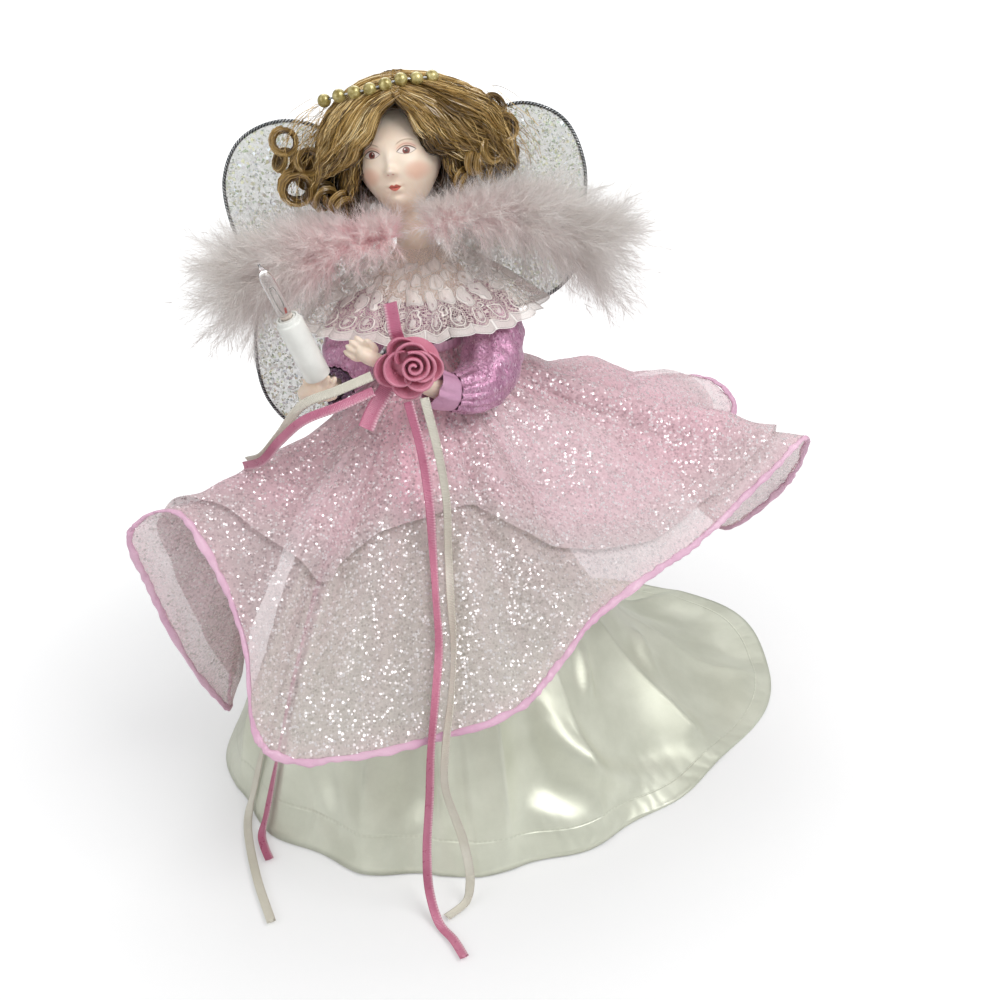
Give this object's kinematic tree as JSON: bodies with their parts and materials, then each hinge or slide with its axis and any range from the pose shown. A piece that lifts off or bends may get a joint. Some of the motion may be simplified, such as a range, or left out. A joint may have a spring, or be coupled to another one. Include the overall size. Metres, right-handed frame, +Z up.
{
  "type": "angel tree topper",
  "caption": "Dressed angel doll on an open card cone that slips over the tip of a tree, with wired wings, a feather boa and a candle lamp in its right hand.",
  "frame": {"origin": "centre of the cone's open mouth, in the plane that the cone's rim and the skirt's hem stand on", "axes": "+Z up along the cone's axis to the head, -Y the way the figure faces, +X towards the figure's left hand"},
  "size_m": [0.2798, 0.2709, 0.2915],
  "materials": {
    "card": "matte",
    "stuffing": "matte",
    "porcelain": "satin",
    "hair": "satin",
    "gold_pearl": "gloss",
    "lace": "matte",
    "feather": "matte",
    "mauve_lame": "satin",
    "pink_hem": "satin",
    "pink_organza": "satin",
    "ivory_satin": "gloss",
    "pink_satin": "satin",
    "armature_wire": "satin",
    "wing_wire": "satin",
    "wing_film": "gloss",
    "white_plastic": "satin",
    "bulb_base": "matte",
    "clear_glass": "gloss"
  },
  "bodies": {
    "root": {"tree_cone": "card", "underskirt": "ivory_satin", "overskirt_lower_tier": "pink_organza", "overskirt_upper_tier": "pink_organza", "lower_tier_hem": "pink_hem", "waistband": "pink_hem", "torso_form": "stuffing", "bodice": "mauve_lame", "porcelain_bust": "porcelain", "wig_cap": "hair", "wig_curls_right": "hair", "wig_curls_left": "hair", "bead_strand": "gold_pearl", "lace_collar": "lace", "feather_boa": "feather", "left_arm_wire": "armature_wire", "left_sleeve": "mauve_lame", "left_cuff": "mauve_lame", "left_forearm": "porcelain", "wing_casing": "pink_hem", "ribbon_rose": "pink_satin", "bow_loop": "pink_satin", "bow_stub": "pink_satin", "front_ribbon_pink": "pink_satin", "front_ribbon_ivory": "ivory_satin", "hand_ribbon_pink": "pink_satin", "hand_ribbon_ivory": "ivory_satin", "tail_ribbon_pink": "pink_satin", "tail_ribbon_ivory": "ivory_satin"},
    "right_arm": {"right_arm_wire": "armature_wire", "right_sleeve": "mauve_lame", "right_cuff": "mauve_lame", "right_forearm": "porcelain", "candle_tube": "white_plastic", "lamp_socket": "white_plastic"},
    "bulb": {"bulb_base": "bulb_base", "bulb_glass": "clear_glass", "bulb_leads": "armature_wire"},
    "right_wing": {"right_wing_frame": "wing_wire", "right_wing_film": "wing_film"},
    "left_wing": {"left_wing_frame": "wing_wire", "left_wing_film": "wing_film"}
  },
  "joints": [
    {"name": "right_arm_swing", "type": "hinge", "parent": "root", "child": "right_arm", "pos_m": [-0.0156, 0, 0.202], "axis": [1, 0, 0], "range_deg": [0, 12], "deforming": ["right_sleeve"]},
    {"name": "bulb_pull", "type": "slide", "parent": "right_arm", "child": "bulb", "axis": [-0.2851, -0.2036, 0.9366], "range_m": [0, 0.02]},
    {"name": "right_wing_bend", "type": "hinge", "parent": "root", "child": "right_wing", "pos_m": [-0.0035, 0.021, 0.2], "axis": [0, 0, -1], "range_deg": [0, 35]},
    {"name": "left_wing_bend", "type": "hinge", "parent": "root", "child": "left_wing", "pos_m": [0.0035, 0.021, 0.2], "axis": [0, 0, 1], "range_deg": [0, 35]}
  ]
}
